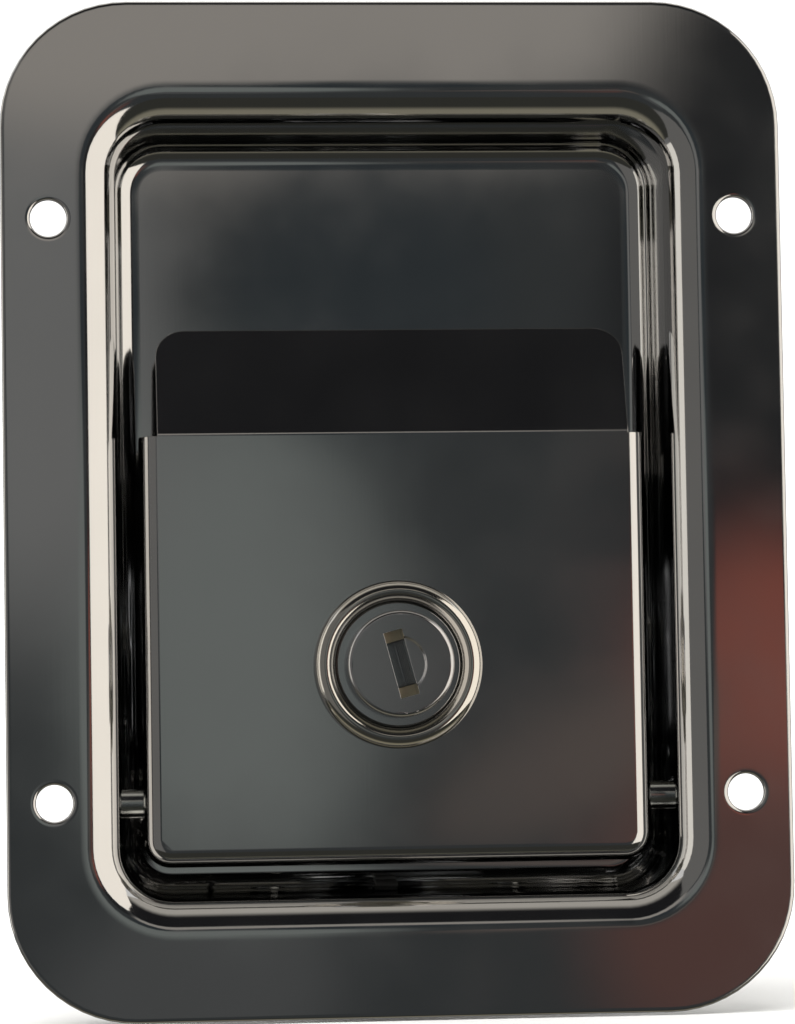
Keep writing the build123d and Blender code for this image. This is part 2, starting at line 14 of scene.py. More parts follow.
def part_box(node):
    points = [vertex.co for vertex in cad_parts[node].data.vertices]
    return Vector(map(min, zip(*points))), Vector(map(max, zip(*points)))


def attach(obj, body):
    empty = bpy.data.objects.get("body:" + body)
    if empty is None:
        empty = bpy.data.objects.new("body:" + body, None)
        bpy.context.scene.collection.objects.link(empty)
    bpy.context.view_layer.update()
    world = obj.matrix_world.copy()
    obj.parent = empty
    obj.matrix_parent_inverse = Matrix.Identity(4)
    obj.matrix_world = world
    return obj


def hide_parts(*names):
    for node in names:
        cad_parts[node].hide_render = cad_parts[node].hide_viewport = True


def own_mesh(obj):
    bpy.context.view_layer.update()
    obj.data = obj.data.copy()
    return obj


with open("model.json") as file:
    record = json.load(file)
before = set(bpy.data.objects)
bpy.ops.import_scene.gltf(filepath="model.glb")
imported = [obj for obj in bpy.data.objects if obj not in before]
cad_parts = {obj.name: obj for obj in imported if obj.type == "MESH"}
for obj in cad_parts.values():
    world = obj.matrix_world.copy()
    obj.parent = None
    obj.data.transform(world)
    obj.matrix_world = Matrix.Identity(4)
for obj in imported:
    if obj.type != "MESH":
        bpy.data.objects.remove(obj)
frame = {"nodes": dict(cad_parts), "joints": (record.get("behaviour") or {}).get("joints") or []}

# Finish and fine form of a flush paddle latch with a key lock and a slam bolt.
# Sizes are in millimetres.  Place.piece brings each finished mesh to metres.
# The paddle faces -Y, +Z is up, and the flange's rear face lies in y = 0.

MM = 0.001
MERGE = 0.0005              # doubles closer than this are one vertex
FORWARD = Vector((0, -1, 0))
SQUARE_ON = 0.99            # least part of a normal along an axis that it is square to

log = logging.getLogger("paddle_latch")


# ---------------------------------------------------------------- frame

@dataclass(frozen=True)
class Extent:
    """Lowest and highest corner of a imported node, in millimetres."""

    low: Vector
    high: Vector

    @classmethod
    def of(cls, node: str) -> "Extent":
        """Reads a node's box from the frame.

        Args:
            node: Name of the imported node.

        Returns:
            The node's extent at rest.
        """
        low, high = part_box(node)
        return cls(low / MM, high / MM)

    @property
    def size(self) -> Vector:
        """Length of each side."""
        return self.high - self.low


def joint_place(name: str) -> Vector:
    """Finds where a joint's axis passes.

    Args:
        name: Name of the joint.

    Returns:
        The joint's place in millimetres.
    """
    joint = next(joint for joint in frame["joints"] if joint["name"] == name)
    return Vector(joint["pos_m"]) / MM


# ---------------------------------------------------------------- finishes

@dataclass(frozen=True)
class MetalFinish:
    """Metal with soft smudges, fine directional scratches and a slight ripple."""

    slot: str
    colour: tuple[float, float, float]
    roughness: float
    smudge: float = 0.04
    tint: float = 0.06
    scratch: tuple[float, float, float] = (3000.0, 3000.0, 60.0)
    scratch_strength: float = 0.02
    scratch_height: float = 0.02
    ripple_scale: float = 22.0
    ripple_depth: float = 0.0

    EVEN = (1.0, 1.0, 1.0)      # stretches a pattern nowhere
    PATCH_SCALE = 70.0
    PATCH_DETAIL = 3.0
    SCRATCH_DETAIL = 2.0
    COMMON_VALUES = (0.3, 0.7)  # between these lies most of a noise pattern
    SMOOTHEST = 0.01

    def material(self) -> bpy.types.Material:
        """Makes the finish, or finds it if it is already made.

        Returns:
            A node material on Object coordinates.
        """
        found = bpy.data.materials.get(f"{self.slot}_finish")
        if found:
            return found
        made = bpy.data.materials.new(f"{self.slot}_finish")
        made.use_nodes = True
        tree = made.node_tree
        shader = tree.nodes["Principled BSDF"]
        shader.inputs["Metallic"].default_value = 1.0
        place = tree.nodes.new("ShaderNodeTexCoord").outputs["Object"]

        patches = self._noise(tree, place, self.EVEN, self.PATCH_SCALE, self.PATCH_DETAIL)
        self._range(tree, patches, self.roughness - self.smudge / 2,
                    self.roughness + self.smudge, shader.inputs["Roughness"])

        shade = tree.nodes.new("ShaderNodeMix")
        shade.data_type = "RGBA"
        tree.links.new(patches, shade.inputs["Factor"])
        shade.inputs["A"].default_value = (*(c * (1 - self.tint) for c in self.colour), 1)
        shade.inputs["B"].default_value = (*(min(1, c * (1 + self.tint)) for c in self.colour), 1)
        tree.links.new(shade.outputs["Result"], shader.inputs["Base Color"])

        scratches = self._noise(tree, place, self.scratch, 1.0, self.SCRATCH_DETAIL)
        fine = self._bump(tree, scratches, self.scratch_strength, self.scratch_height * MM)
        if self.ripple_depth:
            ripples = self._noise(tree, place, self.EVEN, self.ripple_scale, 0.0)
            wave = self._bump(tree, ripples, 1.0, self.ripple_depth * MM)
            tree.links.new(wave.outputs["Normal"], fine.inputs["Normal"])
        tree.links.new(fine.outputs["Normal"], shader.inputs["Normal"])
        return made

    @staticmethod
    def _noise(
        tree: bpy.types.NodeTree,
        place: bpy.types.NodeSocket,
        stretch: Sequence[float],
        scale: float,
        detail: float,
    ) -> bpy.types.NodeSocket:
        """Adds a noise pattern and returns its value."""
        mapping = tree.nodes.new("ShaderNodeMapping")
        mapping.inputs["Scale"].default_value = stretch
        tree.links.new(place, mapping.inputs["Vector"])
        noise = tree.nodes.new("ShaderNodeTexNoise")
        noise.inputs["Scale"].default_value = scale
        noise.inputs["Detail"].default_value = detail
        tree.links.new(mapping.outputs["Vector"], noise.inputs["Vector"])
        return noise.outputs["Fac"]

    @staticmethod
    def _range(
        tree: bpy.types.NodeTree,
        value: bpy.types.NodeSocket,
        low: float,
        high: float,
        target: bpy.types.NodeSocket,
    ) -> None:
        """Spreads a pattern's middle values between two numbers."""
        spread = tree.nodes.new("ShaderNodeMapRange")
        common_low, common_high = MetalFinish.COMMON_VALUES
        spread.inputs["From Min"].default_value = common_low
        spread.inputs["From Max"].default_value = common_high
        spread.inputs["To Min"].default_value = max(MetalFinish.SMOOTHEST, low)
        spread.inputs["To Max"].default_value = high
        tree.links.new(value, spread.inputs["Value"])
        tree.links.new(spread.outputs["Result"], target)

    @staticmethod
    def _bump(
        tree: bpy.types.NodeTree,
        height: bpy.types.NodeSocket,
        strength: float,
        distance: float,
    ) -> bpy.types.Node:
        """Adds a bump node that reads a pattern as height."""
        bump = tree.nodes.new("ShaderNodeBump")
        bump.inputs["Strength"].default_value = strength
        bump.inputs["Distance"].default_value = distance
        tree.links.new(height, bump.inputs["Height"])
        return bump


class Finish(Enum):
    """The metals and platings that the latch is made of."""

    PAN_STEEL = MetalFinish("polished_steel", (0.60, 0.60, 0.60), 0.07, ripple_depth=0.02)
    PADDLE_STEEL = MetalFinish("paddle_steel", (0.60, 0.60, 0.60), 0.09, ripple_depth=0.01)
    BEZEL_CHROME = MetalFinish("bezel_chrome", (0.66, 0.64, 0.60), 0.08)
    LOCK_CHROME = MetalFinish("lock_chrome", (0.60, 0.61, 0.62), 0.12)
    CAP_STEEL = MetalFinish("cap_steel", (0.55, 0.55, 0.56), 0.16)
    BRASS = MetalFinish("brass", (0.70, 0.60, 0.43), 0.30)
    ZINC_STEEL = MetalFinish("zinc_steel", (0.62, 0.63, 0.64), 0.32, smudge=0.10)
    PIN_STEEL = MetalFinish("pin_steel", (0.56, 0.58, 0.57), 0.18)
    SPRING_STEEL = MetalFinish("spring_steel", (0.50, 0.50, 0.51), 0.22)
    BOLT_STEEL = MetalFinish("bolt_steel", (0.55, 0.55, 0.55), 0.28, smudge=0.08)


# ---------------------------------------------------------------- mesh making

class Form:
    """A mesh in the making, in millimetres, shaped with bmesh operators."""

    CORNER_STEPS = 14

    def __init__(self) -> None:
        """Starts an empty mesh."""
        self.bm = bmesh.new()

    def sheet(
        self,
        width: float,
        height: float,
        corner: float,
        centre: Sequence[float],
        steps: int = CORNER_STEPS,
    ) -> BMFace:
        """Adds a flat rounded rectangle that faces forwards.

        Args:
            width: Size along X.
            height: Size along Z.
            corner: Radius of the four corners.
            centre: Its middle.
            steps: Segments in each corner.

        Returns:
            The new face.
        """
        before = set(self.bm.faces)
        turn = Matrix.Rotation(math.radians(90), 4, "X")
        place = Matrix.Translation(centre) @ turn @ Matrix.Diagonal((width, height, 1, 1))
        made = bmesh.ops.create_grid(
            self.bm, x_segments=1, y_segments=1, size=0.5, matrix=place
        )
        if corner:
            bmesh.ops.bevel(
                self.bm, geom=made["verts"], offset=corner, offset_type="OFFSET",
                segments=steps, profile=0.5, affect="VERTICES", material=-1,
            )
        return next(face for face in self.bm.faces if face not in before)

    def disc(
        self, radius: float, centre: Sequence[float], axis: str = "Y", steps: int = 48
    ) -> BMFace:
        """Adds a flat disc square to an axis.

        Args:
            radius: Radius of the disc.
            centre: Its middle.
            axis: "Y" for a disc that faces forwards, "X" or "Z" for the others.
            steps: Sides of the disc.

        Returns:
            The new face.
        """
        turns = {
            "X": Matrix.Rotation(math.radians(90), 4, "Y"),
            "Y": Matrix.Rotation(math.radians(90), 4, "X"),
            "Z": Matrix.Identity(4),
        }
        made = bmesh.ops.create_circle(
            self.bm, cap_ends=True, radius=radius, segments=steps,
            matrix=Matrix.Translation(centre) @ turns[axis],
        )
        return made["verts"][0].link_faces[0]

    def inset(self, face: BMFace, inwards: float, rise: float = 0.0) -> None:
        """Steps a face inwards within its plane and along its normal."""
        bmesh.ops.inset_region(
            self.bm, faces=[face], thickness=inwards, depth=rise,
            use_even_offset=True, use_boundary=True,
        )

    def bend(
        self, face: BMFace, radius: float, steps: int, rises: bool, from_flat: bool
    ) -> None:
        """Rounds the sheet through a right angle about a face's outline.

        Args:
            face: The face inside the bend, which moves.
            radius: Radius on the modelled side.
            steps: Segments in the bend.
            rises: True if the face moves along its normal.
            from_flat: True if the bend starts in the face's plane.
        """
        sign = 1 if rises else -1
        for step in range(steps):
            near = math.radians(90) * step / steps
            far = math.radians(90) * (step + 1) / steps
            along = radius * (math.sin(far) - math.sin(near))
            across = radius * (math.cos(near) - math.cos(far))
            if from_flat:
                self.inset(face, along, sign * across)
            else:
                self.inset(face, across, sign * along)

    def new_rims(self, before: set[BMEdge]) -> list[BMEdge]:
        """Open edges made since a set of the edges was taken."""
        return [edge for edge in self.bm.edges if edge.is_boundary and edge not in before]

    def rims_at(self, x: float) -> list[BMEdge]:
        """Open and loose edges in the plane at one X."""
        return [
            edge for edge in self.bm.edges
            if (edge.is_boundary or edge.is_wire)
            and all(abs(vert.co.x - x) < MERGE for vert in edge.verts)
        ]

    def open(self, face: BMFace) -> list[BMEdge]:
        """Takes a face away and returns the edges that it leaves."""
        edges = list(face.edges)
        bmesh.ops.delete(self.bm, geom=[face], context="FACES_ONLY")
        return edges

    def fill(self, edges: Iterable[BMEdge], normal: Vector = FORWARD) -> list[BMFace]:
        """Fills a flat outline, leaving the outlines inside it open."""
        made = bmesh.ops.triangle_fill(
            self.bm, use_beauty=True, use_dissolve=False, edges=list(edges), normal=normal
        )
        return [item for item in made["geom"] if isinstance(item, BMFace)]

    def hole(
        self, radius: float, margin: float, centre: Sequence[float], axis: str = "Y"
    ) -> list[BMEdge]:
        """Adds a ring of faces round a hole.

        Args:
            radius: Radius of the hole.
            margin: Width of the ring.
            centre: Middle of the hole.
            axis: Axis of the hole.

        Returns:
            The ring's outer edges.
        """
        before = set(self.bm.edges)
        face = self.disc(radius + margin, centre, axis)
        self.inset(face, margin)
        rim = self.new_rims(before)
        self.open(face)
        return rim

    def spin(
        self, cent: Sequence[float], axis: Sequence[float], angle: float = 360.0, steps: int = 96
    ) -> None:
        """Turns everything drawn so far about an axis, and closes a full turn."""
        full = abs(angle) >= 360
        bmesh.ops.spin(
            self.bm, geom=list(self.bm.verts) + list(self.bm.edges), cent=cent, axis=axis,
            angle=math.radians(angle), steps=steps, use_merge=full, use_duplicate=False,
        )

    def merge(self) -> None:
        """Makes doubled vertices one."""
        bmesh.ops.remove_doubles(self.bm, verts=list(self.bm.verts), dist=MERGE)


class Pen:
    """Draws a run of edges with straight extrusions and spins."""

    def __init__(self, form: Form, start: Sequence[float]) -> None:
        """Puts the pen down.

        Args:
            form: The mesh to draw in.
            start: Where the run starts.
        """
        self.bm = form.bm
        self.start = Vector(start)
        self.tip = bmesh.ops.create_vert(self.bm, co=start)["vert"][0]
        self.edges: list[BMEdge] = []

    def line(self, *points: Sequence[float]) -> "Pen":
        """Draws straight to each point in turn."""
        for point in points:
            made = bmesh.ops.extrude_vert_indiv(self.bm, verts=[self.tip])
            self.tip = made["verts"][0]
            self.tip.co = Vector(point)
            self.edges += made["edges"]
        return self

    def arc(self, cent: Sequence[float], axis: Sequence[float], angle: float, steps: int) -> "Pen":
        """Draws an arc about an axis, with the angle in degrees."""
        before = set(self.bm.edges)
        made = bmesh.ops.spin(
            self.bm, geom=[self.tip], cent=cent, axis=axis, angle=math.radians(angle),
            steps=steps, use_duplicate=False,
        )
        self.tip = next(item for item in made["geom_last"] if isinstance(item, BMVert))
        self.edges += [edge for edge in self.bm.edges if edge not in before]
        return self

    def close(self) -> "Pen":
        """Draws straight back to the start."""
        return self.line(self.start)


@dataclass
class Place:
    """Turns finished forms into pieces that ride on one body of the frame."""

    body: str
    made: list[str] = field(default_factory=list)

    SHARP_DEGREES = 48          # edges that turn less than this get no rim
    AREA_WEIGHT = 100           # how strongly large faces steer the shading

    def piece(
        self,
        form: Form,
        name: str,
        finish: Finish,
        replaces: Sequence[str] = (),
        wall: float = 0.0,
        rim: float = 0.0,
        rim_steps: int = 3,
        faces_forward: bool = False,
    ) -> bpy.types.Object:
        """Finishes a mesh and puts it in the scene.

        Args:
            form: The modelled mesh, in millimetres.
            name: Name of the piece.
            finish: Its metal.
            replaces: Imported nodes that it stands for.
            wall: Sheet thickness behind the modelled faces, or nothing for a closed form.
            rim: Radius on the sharp edges.
            rim_steps: Segments on that radius.
            faces_forward: True if an open form's outside is its front.

        Returns:
            The piece's object.
        """
        bm = form.bm
        form.merge()
        bmesh.ops.recalc_face_normals(bm, faces=list(bm.faces))
        if faces_forward:
            front = min(bm.faces, key=lambda face: face.calc_center_median().y)
            if front.normal.y > 0:
                bmesh.ops.reverse_faces(bm, faces=list(bm.faces))
        bmesh.ops.scale(bm, vec=(MM, MM, MM), verts=list(bm.verts))
        for face in bm.faces:
            face.smooth = True
        mesh = bpy.data.meshes.new(name)
        bm.to_mesh(mesh)
        bm.free()
        obj = bpy.data.objects.new(name, mesh)
        bpy.context.scene.collection.objects.link(obj)
        mesh.materials.append(finish.value.material())
        if wall:
            solid = obj.modifiers.new("wall", "SOLIDIFY")
            solid.thickness = wall * MM
            solid.offset = -1
            solid.use_even_offset = True
            solid.use_quality_normals = True
        if rim:
            bevel = obj.modifiers.new("rim", "BEVEL")
            bevel.width = rim * MM
            bevel.segments = rim_steps
            bevel.limit_method = "ANGLE"
            bevel.angle_limit = math.radians(self.SHARP_DEGREES)
        weighted = obj.modifiers.new("shading", "WEIGHTED_NORMAL")
        weighted.weight = self.AREA_WEIGHT
        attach(obj, self.body)
        if replaces:
            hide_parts(*replaces)
        self.made.append(name)
        return obj

    def refine(
        self, node: str, name: str, finish: Finish, rim: float = 0.15, flat: float = 0.8
    ) -> bpy.types.Object:
        """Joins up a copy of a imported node's faces and softens its edges.

        Args:
            node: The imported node.
            name: Name of the piece that stands for it.
            finish: Its metal.
            rim: Radius on its sharp edges.
            flat: Faces that meet at less than this many degrees become one.

        Returns:
            The piece's object.
        """
        form = Form()
        bm = form.bm
        bm.from_mesh(frame["nodes"][node].data)
        bmesh.ops.scale(bm, vec=(1 / MM, 1 / MM, 1 / MM), verts=list(bm.verts))
        form.merge()
        bmesh.ops.dissolve_limit(
            bm, angle_limit=math.radians(flat), use_dissolve_boundaries=False,
            verts=list(bm.verts), edges=list(bm.edges),
        )
        return self.piece(form, name, finish, [node], rim=rim)


# ---------------------------------------------------------------- sub-assemblies

@dataclass
class Dish:
    """Drawn steel dish in a flat flange, with the hinge and bolt parts fixed to it."""

    sheet: float = 1.2
    flange_corner: float = 17.5
    mouth_bend: float = 5.0
    wall_corner: float = 7.0
    floor_bend: float = 3.0
    well_width: float = 76.6
    well_height: float = 106.6
    hole_radius: float = 2.5
    hole_spacing: tuple[float, float] = (95.0, 80.0)
    ring: float = 0.8
    edge_round: float = 0.42
    slot_width: float = 3.6
    slot_height: float = 11.3
    slot_corner: float = 0.6
    opening_sides: tuple[float, float] = (-8.6, 14.5)
    opening_rise: tuple[float, float] = (-8.6, 15.9)
    opening_corner: float = 2.0
    place: Place = field(default_factory=lambda: Place("dish"))

    def build(self) -> None:
        """Models the pan and dresses the parts fixed to it."""
        self._pan()
        self.place.refine("hinge_pin", "headed_pin", Finish.PIN_STEEL)
        self.place.refine("pin_clip", "toothed_clip", Finish.SPRING_STEEL, rim=0.08)
        self.place.refine("bolt_case", "pressed_case", Finish.ZINC_STEEL, rim=0.25)
        self.place.refine("case_rivets", "headed_rivets", Finish.PIN_STEEL, rim=0.2)
        self._bolt_springs()

    def _bolt_springs(self) -> None:
        """Pair of springs, refined from the imported node and given a mesh of their own."""
        springs = Extent.of("bolt_springs")
        obj = self.place.refine("bolt_springs", "slam_springs", Finish.SPRING_STEEL, rim=0)
        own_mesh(obj)

    def _pan(self) -> None:
        """Flange, side walls and floor, as one drawn sheet."""
        pan = Extent.of("pan")
        front = pan.low.y
        lock = joint_place("plug_turn")
        pivot = joint_place("paddle_hinge")
        form = Form()

        mouth = form.sheet(
            self.well_width + 2 * (self.mouth_bend + self.ring),
            self.well_height + 2 * (self.mouth_bend + self.ring),
            self.wall_corner + self.mouth_bend + self.ring, (0, front, 0),
        )
        form.inset(mouth, self.ring)
        form.bend(mouth, self.mouth_bend, steps=14, rises=False, from_flat=True)
        depth = pan.size.y - self.sheet
        wall = depth - self.mouth_bend - self.floor_bend
        form.inset(mouth, 0, -wall)
        form.bend(mouth, self.floor_bend, steps=8, rises=False, from_flat=False)
        form.inset(mouth, self.ring)
        mouth_edges = form.new_rims(set())
        floor_y = front + depth
        floor_edges = form.open(mouth)
        floor_edges += self._lock_opening(form, floor_y, lock)
        slot = form.sheet(
            self.slot_width, self.slot_height, self.slot_corner, (0, floor_y, pivot.z), steps=3
        )
        floor_edges += form.open(slot)
        form.fill(floor_edges)

        flange = form.sheet(pan.size.x, pan.size.z, self.flange_corner, (0, front, 0))
        form.inset(flange, self.ring)
        flange_edges = mouth_edges + form.open(flange)
        for side in (-0.5, 0.5):
            for end in (-0.5, 0.5):
                centre = (side * self.hole_spacing[0], front, end * self.hole_spacing[1])
                flange_edges += form.hole(self.hole_radius, self.ring, centre)
        form.fill(flange_edges)
        self.place.piece(
            form, "drawn_pan", Finish.PAN_STEEL, ["pan"], wall=self.sheet,
            rim=self.edge_round, rim_steps=4, faces_forward=True,
        )

    def _lock_opening(self, form: Form, floor_y: float, lock: Vector) -> list[BMEdge]:
        """Cut-out in the floor that the lock and its cam swing through."""
        left, right = self.opening_sides
        foot, top = (lock.z + rise for rise in self.opening_rise)
        centre = ((left + right) / 2, floor_y, (foot + top) / 2)
        opening = form.sheet(right - left, top - foot, self.opening_corner, centre, steps=5)
        return form.open(opening)


@dataclass
class Paddle:
    """Pressed paddle with a finger lip, and the tail welded behind it."""

    sheet: float = 1.2
    bend: float = 2.5
    corner: float = 3.8
    side_depth: float = 8.2
    side_top: float = 2.5
    ear: float = 5.2
    pin_hole: float = 2.05
    lip_lean: float = 21.5
    lip_bend: float = 2.2
    lip_corner: float = 4.0
    lip_rise: float = 15.2
    barrel_hole: float = 8.1
    barrel_ring: float = 0.8
    pin_ring: float = 0.4
    edge_round: float = 0.56
    place: Place = field(default_factory=lambda: Place("paddle"))

    def build(self) -> None:
        """Models the paddle and dresses its tail."""
        self._plate()
        self.place.refine("paddle_tail", "welded_tail", Finish.ZINC_STEEL, rim=0.2)

    def _plate(self) -> None:
        """Plate, bent sides and foot, ears and finger lip, as one pressed sheet."""
        paddle = Extent.of("paddle")
        pivot = joint_place("paddle_hinge")
        lock = joint_place("plug_turn")
        half = paddle.high.x
        foot = paddle.low.z
        front = paddle.low.y
        rear = front + self.side_depth
        shoulder = paddle.high.z - self.lip_rise
        over = shoulder + 3 * self.corner    # the tray is cut off square at the shoulder
        form = Form()

        tray = form.sheet(
            2 * half, over - foot, self.corner, (0, rear, (over + foot) / 2), steps=10
        )
        form.inset(tray, 0, self.side_depth - self.bend)
        form.bend(tray, self.bend, steps=10, rises=True, from_flat=False)
        bmesh.ops.bisect_plane(
            form.bm, geom=list(form.bm.verts) + list(form.bm.edges) + list(form.bm.faces),
            plane_co=(0, 0, shoulder), plane_no=(0, 0, 1), clear_outer=True, dist=MERGE,
        )
        plate = min(form.bm.faces, key=lambda face: face.calc_center_median().y)
        plate_edges = form.open(plate)
        plate_edges += form.hole(self.barrel_hole, self.barrel_ring, (0, front, lock.z))
        self._lip(form, front, shoulder, paddle.high.z)
        form.fill(plate_edges)
        for side in (-1, 1):
            self._side(form, side * half, rear, shoulder, pivot)
        self.place.piece(
            form, "pressed_paddle", Finish.PADDLE_STEEL, ["paddle"], wall=self.sheet,
            rim=self.edge_round, faces_forward=True,
        )

    def _lip(self, form: Form, front: float, shoulder: float, top: float) -> None:
        """Finger lip, bent back from the plate's top edge."""
        top_edge = next(
            edge for edge in form.bm.edges
            if all(abs(vert.co.z - shoulder) < MERGE and abs(vert.co.y - front) < MERGE
                   for vert in edge.verts)
        )
        turned = bmesh.ops.spin(
            form.bm, geom=[top_edge, *top_edge.verts], cent=(0, front + self.lip_bend, shoulder),
            axis=(-1, 0, 0), angle=math.radians(self.lip_lean), steps=5, use_duplicate=False,
        )
        last = [item for item in turned["geom_last"] if isinstance(item, BMEdge)]
        lean = math.radians(self.lip_lean)
        length = (top - last[0].verts[0].co.z) / math.cos(lean)
        made = bmesh.ops.extrude_edge_only(form.bm, edges=last)
        corners = [item for item in made["geom"] if isinstance(item, BMVert)]
        bmesh.ops.translate(
            form.bm, verts=corners, vec=(0, length * math.sin(lean), length * math.cos(lean))
        )
        bmesh.ops.bevel(
            form.bm, geom=corners, offset=self.lip_corner, offset_type="OFFSET", segments=10,
            profile=0.5, affect="VERTICES", material=-1,
        )

    def _side(self, form: Form, x: float, rear: float, shoulder: float, pivot: Vector) -> None:
        """Side wall with its pin hole and the round ear that reaches behind it."""
        wall = next(
            face for face in form.bm.faces
            if abs(face.normal.x) > SQUARE_ON and abs(face.calc_center_median().x - x) < MERGE
        )
        edges = form.open(wall)
        low = min(vert.co.z for edge in edges for vert in edge.verts)
        spent = [
            edge for edge in edges
            if all(abs(vert.co.y - rear) < MERGE for vert in edge.verts)
            or all(abs(vert.co.z - shoulder) < MERGE for vert in edge.verts)
        ]
        near = min(vert.co.y for edge in edges for vert in edge.verts)
        bmesh.ops.delete(form.bm, geom=spent, context="EDGES")
        reach = rear - pivot.y
        chord = math.sqrt(self.ear**2 - reach**2)
        span = math.degrees(math.acos(reach / self.ear))
        outline = Pen(form, (x, rear, low))
        outline.line((x, rear, pivot.z - chord))
        outline.arc(pivot + Vector((x, 0, 0)), (1, 0, 0), 2 * span, steps=14)
        outline.line((x, rear, shoulder - self.side_top))
        outline.arc((x, rear - self.side_top, shoulder - self.side_top), (1, 0, 0), 90, steps=6)
        outline.line((x, near, shoulder))
        form.merge()
        rim = form.rims_at(x)
        rim += form.hole(self.pin_hole, self.pin_ring, (x, pivot.y, pivot.z), "X")
        form.fill(rim, Vector((1, 0, 0)))


@dataclass
class TorsionSpring:
    """Spring round the hinge pin, whose upper leg swings with the paddle."""

    wire: float = 0.5
    pitch: float = 1.25
    turn: float = 1590.0
    steps: int = 160
    plate_leg: float = 11.0
    leg_rise: float = 60.0
    wire_sides: int = 12
    fixed: Place = field(default_factory=lambda: Place("dish"))
    swinging: Place = field(default_factory=lambda: Place("paddle"))

    def build(self) -> None:
        """Models the coil with its floor leg, and the leg on the plate."""
        spring = Extent.of("paddle_spring")
        pivot = joint_place("paddle_hinge")
        radius = pivot.y - spring.low.y - self.wire
        start = Vector((spring.low.x + self.wire, pivot.y - radius, pivot.z))
        self._coil(spring, pivot, radius, start)
        self._leg(start)

    def _coil(self, spring: Extent, pivot: Vector, radius: float, start: Vector) -> None:
        """Winds the wire round the pin and runs it out to the floor."""
        form = Form()
        ring = form.open(form.disc(self.wire, start, "Z", self.wire_sides))
        shift = self.pitch * self.turn / 360 / self.steps
        wound = bmesh.ops.spin(
            form.bm, geom=ring, cent=(start.x, pivot.y, pivot.z), axis=(1, 0, 0),
            dvec=(shift, 0, 0), angle=math.radians(self.turn), steps=self.steps,
            use_duplicate=False,
        )
        last = [item for item in wound["geom_last"] if isinstance(item, BMEdge)]
        rise = math.radians(self.leg_rise)
        end_y = pivot.y + radius * math.sin(rise)
        length = (spring.high.y - self.wire - end_y) / math.cos(rise)
        step = (0, length * math.cos(rise), length * math.sin(rise))
        self._run_out(form, last, step)
        self.fixed.piece(form, "torsion_coil", Finish.SPRING_STEEL, ["paddle_spring"])

    def _leg(self, start: Vector) -> None:
        """Straight leg that bears on the back of the plate."""
        form = Form()
        ring = form.open(form.disc(self.wire, start, "Z", self.wire_sides))
        self._run_out(form, ring, (0, 0, self.plate_leg))
        self.swinging.piece(form, "torsion_leg", Finish.SPRING_STEEL, ["paddle_spring"])

    @staticmethod
    def _run_out(form: Form, ring: list[BMEdge], step: Sequence[float]) -> None:
        """Draws a ring out straight and caps both ends of the wire."""
        made = bmesh.ops.extrude_edge_only(form.bm, edges=ring)
        moved = [item for item in made["geom"] if isinstance(item, BMVert)]
        bmesh.ops.translate(form.bm, verts=moved, vec=step)
        bmesh.ops.holes_fill(form.bm, edges=form.new_rims(set()), sides=0)


@dataclass
class KeyLock:
    """Bezel, barrel and nut on the paddle, and the plug that turns in them."""

    bezel_radius: float = 11.6
    mouth_radius: float = 8.7
    bezel_web: float = 0.8
    web_lip: float = 0.4
    foot: float = 0.2
    mouth_wall: float = 0.5
    place: Place = field(default_factory=lambda: Place("paddle"))
    turning: Place = field(default_factory=lambda: Place("plug"))

    def build(self) -> None:
        """Models the bezel and dresses the lock."""
        self._bezel()
        self.place.refine("lock_body", "flatted_barrel", Finish.LOCK_CHROME, rim=0.12)
        self.place.refine("lock_washer", "flat_washer", Finish.ZINC_STEEL, rim=0.1)
        self.place.refine("lock_nut", "hex_nut", Finish.ZINC_STEEL)
        self.turning.refine("lock_plug", "keyed_plug", Finish.LOCK_CHROME, rim=0.05)
        self.turning.refine("plug_cap", "crimped_cap", Finish.CAP_STEEL, rim=0.05)
        self.turning.refine("wafers", "brass_wafers", Finish.BRASS, rim=0.05)
        self.turning.refine("lock_cam", "hooked_cam", Finish.ZINC_STEEL)
        self.turning.refine("cam_washer", "cam_spacer", Finish.ZINC_STEEL, rim=0.08)
        self.turning.refine("cam_screw", "slotted_screw", Finish.ZINC_STEEL, rim=0.1)

    def _bezel(self) -> None:
        """Crowned ring round the lock, spun about the lock's axis."""
        bezel = Extent.of("lock_bezel")
        axis = joint_place("plug_turn")
        back = bezel.high.y
        crown = (self.bezel_radius - self.mouth_radius) / 2
        crown_y = bezel.low.y + crown
        outer = axis.z + self.bezel_radius
        mouth = axis.z + self.mouth_radius
        form = Form()
        profile = Pen(form, (0, back, outer))
        web = back - self.bezel_web
        profile.line((0, back - self.foot, outer), (0, crown_y, outer))
        profile.arc((0, crown_y, outer - crown), (1, 0, 0), 180, steps=16)
        profile.line(
            (0, crown_y + self.mouth_wall, mouth), (0, web, mouth),
            (0, web, mouth - self.web_lip), (0, back, mouth - self.web_lip),
        )
        profile.close()
        form.spin(axis, (0, 1, 0))
        self.place.piece(form, "crowned_bezel", Finish.BEZEL_CHROME, ["lock_bezel"], rim=0.12)


# ---------------------------------------------------------------- studio

@dataclass(frozen=True)
class Glow:
    """Soft patch of light or shade on a card."""

    centre: tuple[float, float]
    reach: tuple[float, float]
    colour: tuple[float, float, float]
    turn: float = 0.0


